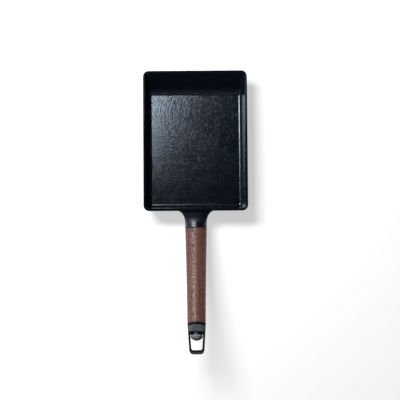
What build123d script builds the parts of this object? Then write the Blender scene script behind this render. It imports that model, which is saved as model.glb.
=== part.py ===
from build123d import *
import math
import os

# Rectangular rolled-omelette pan: a cast vessel with a short cast neck, and a wooden grip that one
# long bolt pulls against the neck through an end cap and a hanging loop.
# Millimetres and degrees. The origin is on the base plane, below the middle of the rim. The far
# wall, which leans out most, faces +Y, and the handle points to -Y and rises.

# Vessel
RIM_LENGTH = 185.2
RIM_WIDTH = 136.2
PAN_HEIGHT = 38.0
WALL = 3.2
FLOOR = 4.0
FAR_LEAN = 34.0
NEAR_LEAN = 10.0
SIDE_LEAN = 7.5
WALL_CORNER = 7.6
FLOOR_FILLET = 3.6
BASE_FILLET = 4.0
RIM_ROUND = 1.1

# Handle line, and how full the oval sections of the neck, grip and cap are
HANDLE_RISE = 15.0
SIDE_ARC_SHARE = 0.87

# Neck, cast with the vessel. It flares into the near wall to both sides, below and a little above
NECK_LENGTH = 20.8
NECK_BELOW_RIM = 2.5
NECK_FLARE_LENGTH = 16.0
NECK_SIDE_FLARE = 12.5
NECK_DROP_FLARE = 5.0
NECK_TOP_FLARE = 0.8
NECK_FLARE_ANGLES = (0, 25, 50, 75)
TENON_WIDTH = 14.0
TENON_DEPTH = 10.0
TENON_LENGTH = 9.0
TENON_ROUND = 1.5
THREAD_REACH = 17.0
HOLE_RUN_OUT = 3.0

# Washer between the neck and the wood
NECK_WASHER_THICKNESS = 1.2
NECK_WASHER_INSET = 0.25

# Wooden grip
GRIP_LENGTH = 131.6
GRIP_FRONT_WIDTH = 28.2
GRIP_REAR_WIDTH = 23.5
GRIP_FRONT_DEPTH = 21.0
GRIP_REAR_DEPTH = 19.5
GRIP_TAPER_POWER = 1.45
GRIP_STEPS = 5
GRIP_EDGE = 0.6
MORTISE_CLEARANCE = 0.15

# End cap
CAP_BAND = 3.3
CAP_SLOPE = 8.0
CAP_DRAFT = 3.0
CAP_END_DEPTH = 12.4
CAP_EDGE = 0.4
CAP_SEAT_DEPTH = 0.8
CAP_LUG_DIAMETER = 3.2
CAP_LUG_LENGTH = 6.0
CAP_LUG_SPREAD = 13.0
LUG_CLEARANCE = 0.1

# Hanging loop, a ring of flat strap
LOOP_LENGTH = 28.2
LOOP_BASE_WIDTH = 22.1
LOOP_END_WIDTH = 18.7
LOOP_DEPTH = 10.8
STRAP = 2.6
LOOP_BASE_CORNER = 1.2
LOOP_END_CORNER = 5.5
LOOP_EDGE = 0.35
SEAT_CLEARANCE = 0.15

# Tie bolt and the washers under its head
BOLT_DIAMETER = 6.0
BOLT_CLEARANCE = 0.3
THREAD_CLEARANCE = 0.05
BOLT_TIP_CHAMFER = 0.8
HEAD_DIAMETER = 15.4
HEAD_EDGE = 1.4
HEAD_DOME = 4.3
SOCKET_ACROSS_FLATS = 5.0
SOCKET_DEPTH = 3.0
WASHER_DIAMETER = 14.0
WASHER_THICKNESS = 1.5
SPRING_DIAMETER = 12.6
SPRING_THICKNESS = 0.9
SPRING_HEIGHT = 1.4

# How far a cutting tool runs past what it cuts
OVERRUN = 2.0


def tan(angle):
    return math.tan(math.radians(angle))


def sin(angle):
    return math.sin(math.radians(angle))


def cos(angle):
    return math.cos(math.radians(angle))


# Where the grip meets the neck. The neck keeps its place below the rim
JOINT_HALF_DEPTH = GRIP_FRONT_DEPTH / 2 / cos(HANDLE_RISE)
ROOT_HEIGHT = PAN_HEIGHT - NECK_BELOW_RIM - NECK_TOP_FLARE - JOINT_HALF_DEPTH
JOINT_HEIGHT = ROOT_HEIGHT + NECK_LENGTH * tan(HANDLE_RISE)
JOINT_Y = -RIM_LENGTH / 2 - NECK_LENGTH

# Handle plane: its Z runs out along the handle, its Y is the handle's upper side
HANDLE = Plane(
    origin=(0, JOINT_Y, JOINT_HEIGHT),
    x_dir=(1, 0, 0),
    z_dir=(0, -cos(HANDLE_RISE), sin(HANDLE_RISE)),
)

# Stations along the handle, where each piece of the stack begins
CAP_START = GRIP_LENGTH
CAP_END = CAP_START + CAP_BAND + CAP_SLOPE
LOOP_START = CAP_END - CAP_SEAT_DEPTH
WASHER_START = LOOP_START + STRAP
SPRING_START = WASHER_START + WASHER_THICKNESS
HEAD_START = SPRING_START + SPRING_HEIGHT


def wall_places(height, inset):
    """Where the near, far and side walls stand at one height, each drawn in square to itself."""
    below_rim = PAN_HEIGHT - height
    near = -RIM_LENGTH / 2 + below_rim * tan(NEAR_LEAN) + inset / cos(NEAR_LEAN)
    far = RIM_LENGTH / 2 - below_rim * tan(FAR_LEAN) - inset / cos(FAR_LEAN)
    side = RIM_WIDTH / 2 - below_rim * tan(SIDE_LEAN) - inset / cos(SIDE_LEAN)
    return near, far, side


def tray(bottom, top, inset, corner, foot):
    """Solid between the four leaning walls: its long view crossed with its front view, then rounded."""
    near_low, far_low, side_low = wall_places(bottom, inset)
    near_high, far_high, side_high = wall_places(top, inset)
    long_view = Polyline(
        (near_low, bottom), (far_low, bottom), (far_high, top), (near_high, top), close=True
    )
    front_view = Polyline(
        (-side_low, bottom), (side_low, bottom), (side_high, top), (-side_high, top), close=True
    )
    block = extrude(Plane.YZ * make_face(long_view), RIM_WIDTH, both=True)
    block = block & extrude(Plane.XZ * make_face(front_view), RIM_LENGTH, both=True)
    level = block.edges().filter_by(Axis.X) + block.edges().filter_by(Axis.Y)
    block = fillet(block.edges() - level, corner)
    return fillet(block.faces().sort_by(Axis.Z)[0].edges(), foot)


def oval(half_width, half_depth):
    """Closed oval of four tangent arcs, a little fuller than an ellipse."""
    side = half_depth * SIDE_ARC_SHARE
    side_centre = half_width - side
    crown = (side_centre**2 + half_depth**2 - side**2) / (2 * (half_depth - side))
    crown_centre = crown - half_depth
    between = math.hypot(side_centre, crown_centre)
    x = side_centre * crown / between
    y = crown_centre * side / between
    arcs = Curve() + [
        ThreePointArc((x, -y), (half_width, 0), (x, y)),
        ThreePointArc((x, y), (0, half_depth), (-x, y)),
        ThreePointArc((-x, y), (-half_width, 0), (-x, -y)),
        ThreePointArc((-x, -y), (0, -half_depth), (x, -y)),
    ]
    return make_face(arcs)


def grip_half_width(station):
    share = 1 - station / GRIP_LENGTH
    return (GRIP_REAR_WIDTH + (GRIP_FRONT_WIDTH - GRIP_REAR_WIDTH) * share**GRIP_TAPER_POWER) / 2


def grip_half_depth(station):
    share = 1 - station / GRIP_LENGTH
    return (GRIP_REAR_DEPTH + (GRIP_FRONT_DEPTH - GRIP_REAR_DEPTH) * share) / 2


def joint_oval(y, inset=0.0, side=0.0, drop=0.0, lift=0.0, lean=0.0):
    """Upright section of the neck at one place along Y, in line with the handle."""
    middle = JOINT_HEIGHT - (y - JOINT_Y) * tan(HANDLE_RISE) + (lift - drop) / 2
    plane = Plane(origin=(0, y, middle), x_dir=(1, 0, 0), z_dir=(0, -cos(lean), -sin(lean)))
    half_depth = JOINT_HALF_DEPTH - inset + (lift + drop) / 2
    return plane * oval(GRIP_FRONT_WIDTH / 2 - inset + side, half_depth)


def round_bar(start, end, radius):
    """Cylinder on the handle line, between two stations."""
    return Pos(0, 0, start) * extrude(Circle(radius), end - start)


def tenon(clearance):
    """Block on the end of the neck that the grip's mortise fits round, in the handle plane."""
    width = TENON_WIDTH + 2 * clearance
    depth = TENON_DEPTH + 2 * clearance
    profile = RectangleRounded(width, depth, TENON_ROUND + clearance)
    return Pos(0, 0, -THREAD_REACH) * extrude(profile, THREAD_REACH + TENON_LENGTH + clearance)


def neck():
    """Straight stretch from the grip, then a flare that turns into the near wall."""
    wall_y = -RIM_LENGTH / 2 + (PAN_HEIGHT - ROOT_HEIGHT) * tan(NEAR_LEAN)
    flare_start = wall_y - NECK_FLARE_LENGTH
    sections = []
    for angle in NECK_FLARE_ANGLES:
        spread = 1 - cos(angle)
        sections.append(
            joint_oval(
                flare_start + NECK_FLARE_LENGTH * sin(angle),
                side=NECK_SIDE_FLARE * spread,
                drop=NECK_DROP_FLARE * spread,
                lift=NECK_TOP_FLARE * spread,
                lean=NEAR_LEAN * sin(angle),
            )
        )
    toward_pan = (0, cos(HANDLE_RISE), -sin(HANDLE_RISE))
    straight = extrude(joint_oval(JOINT_Y), (flare_start - JOINT_Y) / cos(HANDLE_RISE), dir=toward_pan)
    return straight + loft(sections) + extrude(sections[-1], -WALL / 2)


def make_pan_body():
    """Vessel with its cast neck, the tenon on the neck's end and the threaded blind hole."""
    hole = round_bar(
        -THREAD_REACH - HOLE_RUN_OUT,
        TENON_LENGTH + OVERRUN,
        BOLT_DIAMETER / 2 + THREAD_CLEARANCE,
    )
    vessel = tray(0, PAN_HEIGHT, 0, WALL_CORNER, BASE_FILLET)
    cavity = tray(FLOOR, PAN_HEIGHT + OVERRUN, WALL, WALL_CORNER - WALL, FLOOR_FILLET)
    body = vessel + neck() + HANDLE.location * tenon(0)
    body = body - cavity - HANDLE.location * hole
    rim = body.faces().filter_by(Axis.Z).sort_by(Axis.Z)[-1]
    return fillet(rim.edges(), RIM_ROUND)


def make_neck_washer():
    """Flat gasket with the neck's outline, holed for the tenon."""
    face = joint_oval(JOINT_Y, inset=NECK_WASHER_INSET)
    washer = extrude(face, NECK_WASHER_THICKNESS)
    return washer - HANDLE.location * tenon(MORTISE_CLEARANCE)


def cap_lugs(clearance):
    """Two short pegs that keep the cap from turning on the wood."""
    radius = CAP_LUG_DIAMETER / 2 + clearance
    start = CAP_START - CAP_LUG_LENGTH - clearance
    peg = round_bar(start, CAP_START + CAP_BAND / 2, radius)
    return [Pos(side * CAP_LUG_SPREAD / 2, 0, 0) * peg for side in (-1, 1)]


def make_wood_grip():
    """Tapered grip, its front cut upright to meet the neck, bored through for the bolt."""
    lead = GRIP_FRONT_DEPTH * tan(HANDLE_RISE)
    stations = [-lead, lead] + [GRIP_LENGTH * step / GRIP_STEPS for step in range(1, GRIP_STEPS + 1)]
    sections = [Pos(0, 0, s) * oval(grip_half_width(s), grip_half_depth(s)) for s in stations]
    ahead = Pos(0, JOINT_Y - NECK_WASHER_THICKNESS, JOINT_HEIGHT) * Box(
        2 * GRIP_FRONT_WIDTH,
        2 * lead,
        2 * GRIP_FRONT_DEPTH,
        align=(Align.CENTER, Align.MIN, Align.CENTER),
    )
    grip = HANDLE.location * loft(sections, ruled=True) - ahead
    ends = grip.faces().filter_by(GeomType.PLANE).sort_by(Axis.Y)
    grip = chamfer(ends[0].edges() + ends[-1].edges(), GRIP_EDGE)
    bore = round_bar(0, GRIP_LENGTH + OVERRUN, BOLT_DIAMETER / 2 + BOLT_CLEARANCE)
    grip = grip - HANDLE.location * tenon(MORTISE_CLEARANCE) - HANDLE.location * bore
    for peg in cap_lugs(LUG_CLEARANCE):
        grip = grip - HANDLE.location * peg
    return grip


def make_end_cap():
    """Cap that carries the grip's outline on, with a flat facet above and below down to the loop."""
    half_depth = grip_half_depth(GRIP_LENGTH)
    outline = oval(grip_half_width(GRIP_LENGTH), half_depth)
    cap = Pos(0, 0, CAP_START) * extrude(outline, CAP_BAND + CAP_SLOPE, taper=CAP_DRAFT)
    facet_grade = (half_depth - CAP_END_DEPTH / 2) / CAP_SLOPE
    reach = half_depth + facet_grade * CAP_BAND
    side_view = Polyline(
        (-reach, CAP_START),
        (reach, CAP_START),
        (CAP_END_DEPTH / 2, CAP_END),
        (-CAP_END_DEPTH / 2, CAP_END),
        close=True,
    )
    cap = cap & extrude(Plane.YZ * make_face(side_view), GRIP_REAR_WIDTH, both=True)
    cap = chamfer(cap.faces().sort_by(Axis.Z)[-1].edges(), CAP_EDGE)
    for peg in cap_lugs(0):
        cap = cap + peg
    seat = Pos(0, 0, LOOP_START) * Box(
        GRIP_REAR_WIDTH + OVERRUN,
        LOOP_DEPTH + 2 * SEAT_CLEARANCE,
        CAP_SEAT_DEPTH + OVERRUN,
        align=(Align.CENTER, Align.CENTER, Align.MIN),
    )
    bore = round_bar(CAP_START - OVERRUN, CAP_END + OVERRUN, BOLT_DIAMETER / 2 + BOLT_CLEARANCE)
    return HANDLE.location * (cap - seat - bore)


def make_hanging_loop():
    """Closed ring of flat strap: a base bar, two arms that draw in and a rounded far bar."""
    loop_end = LOOP_START + LOOP_LENGTH
    outline = make_face(
        Polyline(
            (-LOOP_BASE_WIDTH / 2, LOOP_START),
            (LOOP_BASE_WIDTH / 2, LOOP_START),
            (LOOP_END_WIDTH / 2, loop_end),
            (-LOOP_END_WIDTH / 2, loop_end),
            close=True,
        )
    )
    corners = outline.vertices().sort_by(Axis.Y)
    outline = fillet(corners[2:], LOOP_END_CORNER)
    outline = fillet(outline.vertices().sort_by(Axis.Y)[:2], LOOP_BASE_CORNER)
    opening = offset(outline, -STRAP)
    ring = extrude(Plane.XZ * (outline - opening), LOOP_DEPTH / 2, both=True)
    long_edges = ring.edges().filter_by(lambda edge: edge.bounding_box().size.Y < STRAP / 2)
    ring = chamfer(long_edges, LOOP_EDGE)
    hole = round_bar(LOOP_START - OVERRUN, WASHER_START + OVERRUN, BOLT_DIAMETER / 2 + BOLT_CLEARANCE)
    return HANDLE.location * (ring - hole)


def make_loop_washer():
    """Plain washer between the loop's base bar and the disc spring."""
    washer = round_bar(WASHER_START, SPRING_START, WASHER_DIAMETER / 2)
    hole = round_bar(WASHER_START - OVERRUN, SPRING_START + OVERRUN, BOLT_DIAMETER / 2 + BOLT_CLEARANCE)
    return HANDLE.location * (washer - hole)


def make_disc_spring():
    """Coned ring that keeps the bolt tight while the wood swells and shrinks."""
    inner = BOLT_DIAMETER / 2 + BOLT_CLEARANCE
    outer = SPRING_DIAMETER / 2
    top = SPRING_START + SPRING_HEIGHT
    profile = make_face(
        Polyline(
            (inner, top - SPRING_THICKNESS),
            (outer, SPRING_START),
            (outer, SPRING_START + SPRING_THICKNESS),
            (inner, top),
            close=True,
        )
    )
    return HANDLE.location * revolve(Plane.XZ * profile, Axis.Z)


def make_tie_bolt():
    """Long bolt with a domed head and a hexagon socket."""
    shank = round_bar(-THREAD_REACH, HEAD_START, BOLT_DIAMETER / 2)
    shank = chamfer(shank.edges().sort_by(Axis.Z)[0], BOLT_TIP_CHAMFER)
    head_radius = HEAD_DIAMETER / 2
    head_top = HEAD_START + HEAD_EDGE + HEAD_DOME
    dome_radius = (head_radius**2 + HEAD_DOME**2) / (2 * HEAD_DOME)
    dome = Pos(0, 0, head_top - dome_radius) * Sphere(dome_radius)
    head = round_bar(HEAD_START, head_top, head_radius) & dome
    hexagon = RegularPolygon(SOCKET_ACROSS_FLATS / 2, 6, major_radius=False)
    socket = Pos(0, 0, head_top - SOCKET_DEPTH) * extrude(hexagon, SOCKET_DEPTH + OVERRUN)
    return HANDLE.location * (shank + head - socket)


os.makedirs("parts", exist_ok=True)
pieces = {
    "pan_body": make_pan_body(),
    "neck_washer": make_neck_washer(),
    "wood_grip": make_wood_grip(),
    "end_cap": make_end_cap(),
    "hanging_loop": make_hanging_loop(),
    "loop_washer": make_loop_washer(),
    "disc_spring": make_disc_spring(),
    "tie_bolt": make_tie_bolt(),
}
for name, piece in pieces.items():
    export_step(piece, f"parts/{name}.step")
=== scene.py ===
import math

import bpy
from mathutils import Matrix, Vector

# A rectangular cast-iron omelette pan with a walnut grip, on a white studio table.
# Lengths are in metres, angles in degrees. The pan stands on z = 0, its far wall faces +Y and its
# handle points to -Y and rises.

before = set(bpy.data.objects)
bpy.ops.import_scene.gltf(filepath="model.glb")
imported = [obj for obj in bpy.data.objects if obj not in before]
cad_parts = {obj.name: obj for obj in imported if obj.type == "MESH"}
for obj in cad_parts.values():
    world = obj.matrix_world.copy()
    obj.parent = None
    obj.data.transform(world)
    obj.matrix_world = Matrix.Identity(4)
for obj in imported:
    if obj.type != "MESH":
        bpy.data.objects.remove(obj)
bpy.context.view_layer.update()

WHITE = (1.0, 1.0, 1.0, 1.0)

# Camera: almost straight above, leaning a little towards the handle. SPAN is the width of the
# picture at the aim.
SENSOR_MM = 36.0
AIM = Vector((0.00547, -0.0784, 0.038))
DISTANCE = 2.75
SPAN = 0.5188
TILT = 6.0
ROLL = -0.44
CLIP_END = 20.0

# Softbox: high on the far left, level, its long side along X
KEY_PLACE = Vector((-0.365, 0.28, 0.83))
KEY_SIZE = (0.54, 0.28)
KEY_RADIANCE = 25.0

# World: pale near the horizon, most of all on the left and near sides, and dark overhead.
# HORIZON_TOP and ZENITH_FROM are heights on the unit sphere, and each share multiplies the
# strength towards its side.
HORIZON_STRENGTH = 0.45
ZENITH_STRENGTH = 0.01
HORIZON_TOP = 0.25
ZENITH_FROM = 0.7
LEFT_SHARE = 2.2
RIGHT_SHARE = 0.12
NEAR_SHARE = 2.0
FAR_SHARE = 0.4

# Table: a little below the pan's base, so that the two faces don't flicker into each other
TABLE_SIZE = 6.0
TABLE_GAP = 0.00005
TABLE_COLOUR = (0.66, 0.66, 0.66, 1.0)
TABLE_LIFT = 0.52

# A noise texture's values lie mostly between these two
NOISE_LOW = 0.3
NOISE_HIGH = 0.7

# Handle: its rise, and the way that it points
HANDLE_RISE = 15.0
HANDLE_TURN = math.radians(HANDLE_RISE)
HANDLE_AXIS = Vector((0.0, -math.cos(HANDLE_TURN), math.sin(HANDLE_TURN)))

# Places on pan_body: three distances towards the handle, and three heights
NECK_ROOT = 0.0915
NECK_SMOOTH_FROM = 0.1
NECK_END = 0.109
PEBBLE_TOP = 0.013
WALL_TOP = 0.0355
RIM_BOTTOM = 0.037

# Enamel: two sizes of pebble inside the vessel and at the neck's root, which fade out over
# PEBBLE_FADE, and a slightly patchy colour
PEBBLE_FADE = 0.005
PEBBLES = ({"scale": 655.0, "depth": 0.00016}, {"scale": 440.0, "depth": 0.00004})
PEBBLE_DETAIL = 1.7
SMOOTH_SHARE = 0.04
PATCH_SCALE = 120.0
PATCH_DETAIL = 3.0
PATCH_ROUGHNESS = 0.02
ENAMEL_DARK = (0.002, 0.0032, 0.006)
ENAMEL_PALE = (0.0034, 0.005, 0.009)
ENAMEL_IOR = 1.62
FLOOR_SHEEN = (0.7, 0.85, 1.0)
NECK_SHEEN = (0.82, 0.91, 1.0)
FLOOR_SHINE = 0.5
WALL_SHINE = 0.06
FLOOR_ROUGHNESS = 0.13
WALL_ROUGHNESS = 0.28
RIM_ROUGHNESS = 0.06
NECK_ROUGHNESS = 0.22
ROOT_ROUGHNESS = 0.7

# Walnut: bands and pores are noise that is stretched along the handle
WALNUT_DARK = (0.09, 0.02, 0.012)
WALNUT_MID = (0.15, 0.038, 0.022)
WALNUT_PALE = (0.21, 0.066, 0.042)
WALNUT_PORE = (0.018, 0.007, 0.005)
WALNUT_SHINE = 0.75
WALNUT_ROUGHNESS = 0.45
BAND_SCALE = (260.0, 9.0, 260.0)
BAND_DETAIL = 4.0
BAND_WILDNESS = 0.6
PORE_SCALE = (1300.0, 380.0, 1300.0)
PORE_DETAIL = 1.0
PORE_FROM = 0.52
PORE_FULL = 0.59
PORE_SHARE = 0.75
PORE_ROUGHNESS = 0.8
PORE_DEPTH = 0.00022

# Coats of the small parts: what a coat doesn't give is COAT_SHINE, COAT_DEPTH or COAT_SCALE, and
# not metallic. The grey of the cap's facets and of the bolt is a painted reflection of the
# softbox, and the cap is black on a band next to the wood, which is painted shade.
COATS = {
    "black_coat": {"colour": (0.003, 0.003, 0.0034), "roughness": 0.5, "shine": 0.05},
    # The cap's grey: a painted reflection of the softbox on its facets
    "cap_painted_light": {"colour": (0.1, 0.108, 0.13), "roughness": 0.65, "shine": 0.1},
    # The bolt's grey: a painted reflection of the softbox, lightened against the shade of its
    # recess
    "bolt_painted_reflection": {"colour": (0.27, 0.28, 0.3), "roughness": 0.65, "shine": 0.1},
    "black_oxide": {"colour": (0.035, 0.035, 0.04), "roughness": 0.45, "metallic": 1.0},
    "gasket": {
        "colour": (0.008, 0.008, 0.008), "roughness": 0.8, "depth": 0.00003, "scale": 2500.0,
    },
}
COAT_SHINE = 0.5
COAT_DEPTH = 0.00002
COAT_SCALE = 1500.0
COAT_DETAIL = 3.0
COAT_DARK_SHARE = 0.8
COAT_DARK_AT = 0.35
COAT_FULL_AT = 0.65
COAT_ROUGHNESS_SPREAD = 0.04
# Width of the cap's black band next to the wood, which is painted shade
PAINTED_SHADE_BAND = 0.0033


class Graph:
    """Adds nodes to a node tree. A value that is a socket is linked, and any other is set."""

    def __init__(self, tree):
        self.tree = tree

    def put(self, socket, value):
        if isinstance(value, bpy.types.NodeSocket):
            self.tree.links.new(value, socket)
        else:
            socket.default_value = value

    def node(self, kind, values=(), **settings):
        node = self.tree.nodes.new(kind)
        for name, value in settings.items():
            setattr(node, name, value)
        for name, value in dict(values).items():
            self.put(node.inputs[name], value)
        return node

    def axes(self, vector):
        return self.node("ShaderNodeSeparateXYZ", {"Vector": vector}).outputs

    def math(self, operation, first, second):
        return self.node("ShaderNodeMath", {0: first, 1: second}, operation=operation).outputs[0]

    def remap(self, value, low, high, to_low=0.0, to_high=1.0, **settings):
        """Carries low..high over to to_low..to_high, and holds the end values outside it."""
        ends = {"From Min": low, "From Max": high, "To Min": to_low, "To Max": to_high}
        return self.node("ShaderNodeMapRange", {"Value": value, **ends}, **settings).outputs[0]


class Paint(Graph):
    """A Principled material whose textures follow the object's own coordinates."""

    def __init__(self, name):
        self.material = bpy.data.materials.new(name)
        self.material.use_nodes = True
        super().__init__(self.material.node_tree)
        self.shader = self.tree.nodes["Principled BSDF"]
        self.place = self.node("ShaderNodeTexCoord").outputs["Object"]

    def look(self, name, value):
        self.put(self.shader.inputs[name], value)

    def noise(self, scale, detail, wildness=0.5, place=None):
        values = {"Scale": scale, "Detail": detail, "Roughness": wildness}
        values["Vector"] = place or self.place
        return self.node("ShaderNodeTexNoise", values).outputs[0]

    def ramp(self, value, stops):
        node = self.node("ShaderNodeValToRGB", {"Fac": value})
        elements = node.color_ramp.elements
        while len(elements) < len(stops):
            elements.new(0.5)
        for element, (position, colour) in zip(elements, stops):
            element.position = position
            element.color = (*colour, 1.0)
        return node.outputs[0]

    def mix(self, share, first, second):
        """Mixes two colours. Sockets 6 and 7 and output 2 are the colour ones of a Mix node."""
        values = {0: share}
        for socket, colour in ((6, first), (7, second)):
            values[socket] = (*colour, 1.0) if isinstance(colour, tuple) else colour
        return self.node("ShaderNodeMix", values, data_type="RGBA").outputs[2]

    def along_handle(self, scale):
        """The object's coordinates, turned so that Y runs along the handle and then scaled.

        One Mapping node would scale before it turns, so this takes two.
        """
        turn = {"Vector": self.place, "Rotation": (HANDLE_TURN, 0.0, 0.0)}
        turned = self.node("ShaderNodeMapping", turn).outputs[0]
        return self.node("ShaderNodeMapping", {"Vector": turned, "Scale": scale}).outputs[0]

    def bump(self, height, depth, strength=1.0, below=None):
        """Bump of a depth in metres, laid over the one below where there is one."""
        values = {"Height": height, "Distance": depth, "Strength": strength}
        if below:
            values["Normal"] = below
        return self.node("ShaderNodeBump", values).outputs[0]


def make_camera():
    data = bpy.data.cameras.new("camera")
    data.sensor_width = SENSOR_MM
    data.lens = SENSOR_MM * DISTANCE / SPAN
    data.clip_end = CLIP_END
    camera = bpy.data.objects.new("camera", data)
    bpy.context.scene.collection.objects.link(camera)
    tilt = math.radians(TILT)
    back = Vector((0.0, -math.sin(tilt), math.cos(tilt)))
    turn = (-back).to_track_quat("-Z", "Y").to_matrix().to_4x4()
    roll = Matrix.Rotation(math.radians(ROLL), 4, "Z")
    camera.matrix_world = Matrix.Translation(AIM + back * DISTANCE) @ turn @ roll
    bpy.context.scene.camera = camera


def make_softbox():
    """Rectangular lamp that faces straight down, with one brightness from all sides."""
    width, height = KEY_SIZE
    data = bpy.data.lights.new("softbox", "AREA")
    data.shape = "RECTANGLE"
    data.size = width
    data.size_y = height
    data.energy = KEY_RADIANCE * math.pi * width * height
    lamp = bpy.data.objects.new("softbox", data)
    lamp.location = KEY_PLACE
    bpy.context.scene.collection.objects.link(lamp)


def make_world():
    world = bpy.data.worlds.new("world")
    world.use_nodes = True
    world.node_tree.nodes.clear()
    graph = Graph(world.node_tree)
    axes = graph.axes(graph.node("ShaderNodeTexCoord").outputs["Generated"])
    strength = graph.remap(
        axes["Z"], HORIZON_TOP, ZENITH_FROM, HORIZON_STRENGTH, ZENITH_STRENGTH,
        interpolation_type="SMOOTHSTEP",
    )
    for axis, low, high in (("X", LEFT_SHARE, RIGHT_SHARE), ("Y", NEAR_SHARE, FAR_SHARE)):
        share = graph.remap(axes[axis], -1.0, 1.0, low, high)
        strength = graph.math("MULTIPLY", strength, share)
    light = graph.node("ShaderNodeBackground", {"Color": WHITE, "Strength": strength})
    graph.node("ShaderNodeOutputWorld", {"Surface": light.outputs[0]})
    bpy.context.scene.world = world


def table_material():
    """Pale paint, lifted towards white only for what the camera and reflections see."""
    material = bpy.data.materials.new("table")
    material.use_nodes = True
    material.node_tree.nodes.clear()
    graph = Graph(material.node_tree)
    ray = graph.node("ShaderNodeLightPath").outputs
    seen = graph.math("MAXIMUM", ray["Is Camera Ray"], ray["Is Glossy Ray"])
    seen = graph.math("MAXIMUM", seen, ray["Is Transmission Ray"])
    paint = graph.node("ShaderNodeBsdfDiffuse", {"Color": TABLE_COLOUR}).outputs[0]
    glow = graph.node("ShaderNodeEmission", {"Strength": TABLE_LIFT}).outputs[0]
    both = graph.node("ShaderNodeAddShader", {0: paint, 1: glow}).outputs[0]
    top = graph.node("ShaderNodeMixShader", {0: seen, 1: paint, 2: both}).outputs[0]
    graph.node("ShaderNodeOutputMaterial", {"Surface": top})
    return material


def make_table():
    half = TABLE_SIZE / 2
    corners = [(-half, -half), (half, -half), (half, half), (-half, half)]
    mesh = bpy.data.meshes.new("table")
    mesh.from_pydata([(x, y, -TABLE_GAP) for x, y in corners], [], [(0, 1, 2, 3)])
    mesh.materials.append(table_material())
    table = bpy.data.objects.new("table", mesh)
    bpy.context.scene.collection.objects.link(table)


def enamelled_iron():
    """Blue-black enamel, pebbled inside the vessel and at the neck's root, smooth elsewhere."""
    paint = Paint("enamelled_iron")
    place = paint.axes(paint.place)
    facing = paint.axes(paint.node("ShaderNodeNewGeometry").outputs["True Normal"])

    # Masks, each from 0 to 1
    facing_up = paint.math("GREATER_THAN", facing["Z"], 0.0)
    down_low = paint.remap(place["Z"], PEBBLE_TOP, PEBBLE_TOP - PEBBLE_FADE)
    on_floor = paint.math("MULTIPLY", down_low, facing_up)
    on_neck = paint.math("LESS_THAN", place["Y"], -NECK_ROOT)
    short_of_smooth = paint.remap(place["Y"], -NECK_SMOOTH_FROM, PEBBLE_FADE - NECK_SMOOTH_FROM)
    on_root = paint.math("MULTIPLY", short_of_smooth, on_neck)
    to_neck_end = paint.remap(place["Y"], -NECK_SMOOTH_FROM, -NECK_END)

    pebbled = paint.math("MAXIMUM", on_floor, on_root)
    strength = paint.remap(pebbled, 0.0, 1.0, SMOOTH_SHARE, 1.0)
    normal = None
    for pebble in PEBBLES:
        height = paint.noise(pebble["scale"], PEBBLE_DETAIL)
        normal = paint.bump(height, pebble["depth"], strength, normal)
    paint.look("Normal", normal)

    patches = paint.noise(PATCH_SCALE, PATCH_DETAIL)
    colours = ((NOISE_LOW, ENAMEL_DARK), (NOISE_HIGH, ENAMEL_PALE))
    paint.look("Base Color", paint.ramp(patches, colours))

    shining = paint.math("MAXIMUM", on_floor, to_neck_end)
    paint.look("IOR", ENAMEL_IOR)
    paint.look("Specular IOR Level", paint.remap(shining, 0.0, 1.0, WALL_SHINE, FLOOR_SHINE))
    paint.look("Specular Tint", paint.mix(on_neck, FLOOR_SHEEN, NECK_SHEEN))

    neck = paint.remap(to_neck_end, 0.0, 1.0, ROOT_ROUGHNESS, NECK_ROUGHNESS)
    wall = paint.remap(place["Z"], WALL_TOP, RIM_BOTTOM, WALL_ROUGHNESS, RIM_ROUGHNESS)
    wall_or_neck = paint.remap(on_neck, 0.0, 1.0, wall, neck)
    roughness = paint.remap(on_floor, 0.0, 1.0, wall_or_neck, FLOOR_ROUGHNESS)
    spread = paint.remap(patches, NOISE_LOW, NOISE_HIGH, -PATCH_ROUGHNESS, PATCH_ROUGHNESS)
    paint.look("Roughness", paint.math("ADD", roughness, spread))
    return paint.material


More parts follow.
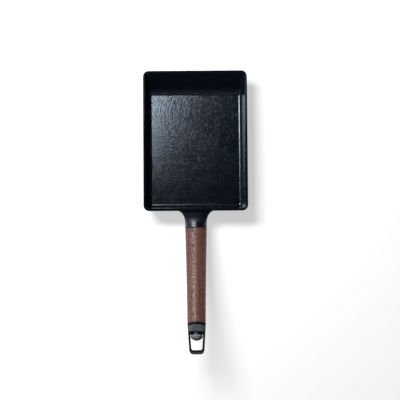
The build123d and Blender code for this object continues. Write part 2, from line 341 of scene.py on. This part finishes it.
def walnut():
    """Reddish walnut with bands along the handle and short open pores."""
    paint = Paint("walnut")
    paint.look("Specular IOR Level", WALNUT_SHINE)
    bands = paint.noise(1.0, BAND_DETAIL, BAND_WILDNESS, paint.along_handle(BAND_SCALE))
    middle = (NOISE_LOW + NOISE_HIGH) / 2
    colours = ((NOISE_LOW, WALNUT_DARK), (middle, WALNUT_MID), (NOISE_HIGH, WALNUT_PALE))
    tone = paint.ramp(bands, colours)
    pores = paint.noise(1.0, PORE_DETAIL, place=paint.along_handle(PORE_SCALE))
    in_pore = paint.remap(pores, PORE_FROM, PORE_FULL)
    darkened = paint.math("MULTIPLY", in_pore, PORE_SHARE)
    paint.look("Base Color", paint.mix(darkened, tone, WALNUT_PORE))
    paint.look("Roughness", paint.remap(in_pore, 0.0, 1.0, WALNUT_ROUGHNESS, PORE_ROUGHNESS))
    paint.look("Normal", paint.bump(paint.math("MULTIPLY", in_pore, -1.0), PORE_DEPTH))
    return paint.material


def coat(
    name, colour, roughness, shine=COAT_SHINE, metallic=0.0, depth=COAT_DEPTH, scale=COAT_SCALE
):
    """Dark coat with a faint grain of its own, of this depth in metres and noise scale."""
    paint = Paint(name)
    paint.look("Specular IOR Level", shine)
    paint.look("Metallic", metallic)
    grain = paint.noise(scale, COAT_DETAIL)
    dark = tuple(channel * COAT_DARK_SHARE for channel in colour)
    paint.look("Base Color", paint.ramp(grain, ((COAT_DARK_AT, dark), (COAT_FULL_AT, colour))))
    low = roughness - COAT_ROUGHNESS_SPREAD
    high = roughness + COAT_ROUGHNESS_SPREAD
    paint.look("Roughness", paint.remap(grain, NOISE_LOW, NOISE_HIGH, low, high))
    paint.look("Normal", paint.bump(grain, depth))
    return paint


def cap_with_painted_light():
    """The end cap: grey on the facets, a painted reflection of the softbox, and black on the band
    next to the wood, painted shade.
    """
    paint = coat("cap_painted_light", **COATS["cap_painted_light"])
    along = {0: paint.place, 1: HANDLE_AXIS}
    station = paint.node("ShaderNodeVectorMath", along, operation="DOT_PRODUCT").outputs["Value"]
    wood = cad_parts["wood_grip"].data
    wood_end = max(vertex.co.dot(HANDLE_AXIS) for vertex in wood.vertices)
    # Painted shade: the band next to the wood takes the black coat's colour
    in_painted_shade = paint.math("LESS_THAN", station, wood_end + PAINTED_SHADE_BAND)
    grey = paint.shader.inputs["Base Color"].links[0].from_socket
    paint.look("Base Color", paint.mix(in_painted_shade, grey, COATS["black_coat"]["colour"]))
    return paint.material


def dress(material, *nodes):
    for node in nodes:
        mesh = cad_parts[node].data
        mesh.materials.clear()
        mesh.materials.append(material)


dress(enamelled_iron(), "pan_body")
dress(walnut(), "wood_grip")
dress(coat("black_coat", **COATS["black_coat"]).material, "hanging_loop")
# The end cap's grey facets are a painted reflection and its black band is painted shade
dress(cap_with_painted_light(), "end_cap")
# The bolt head's grey is a painted reflection
dress(coat("bolt_painted_reflection", **COATS["bolt_painted_reflection"]).material, "tie_bolt")
dress(coat("black_oxide", **COATS["black_oxide"]).material, "loop_washer", "disc_spring")
dress(coat("gasket", **COATS["gasket"]).material, "neck_washer")

make_camera()
make_softbox()
make_world()
make_table()
bpy.context.scene.view_settings.view_transform = "Standard"
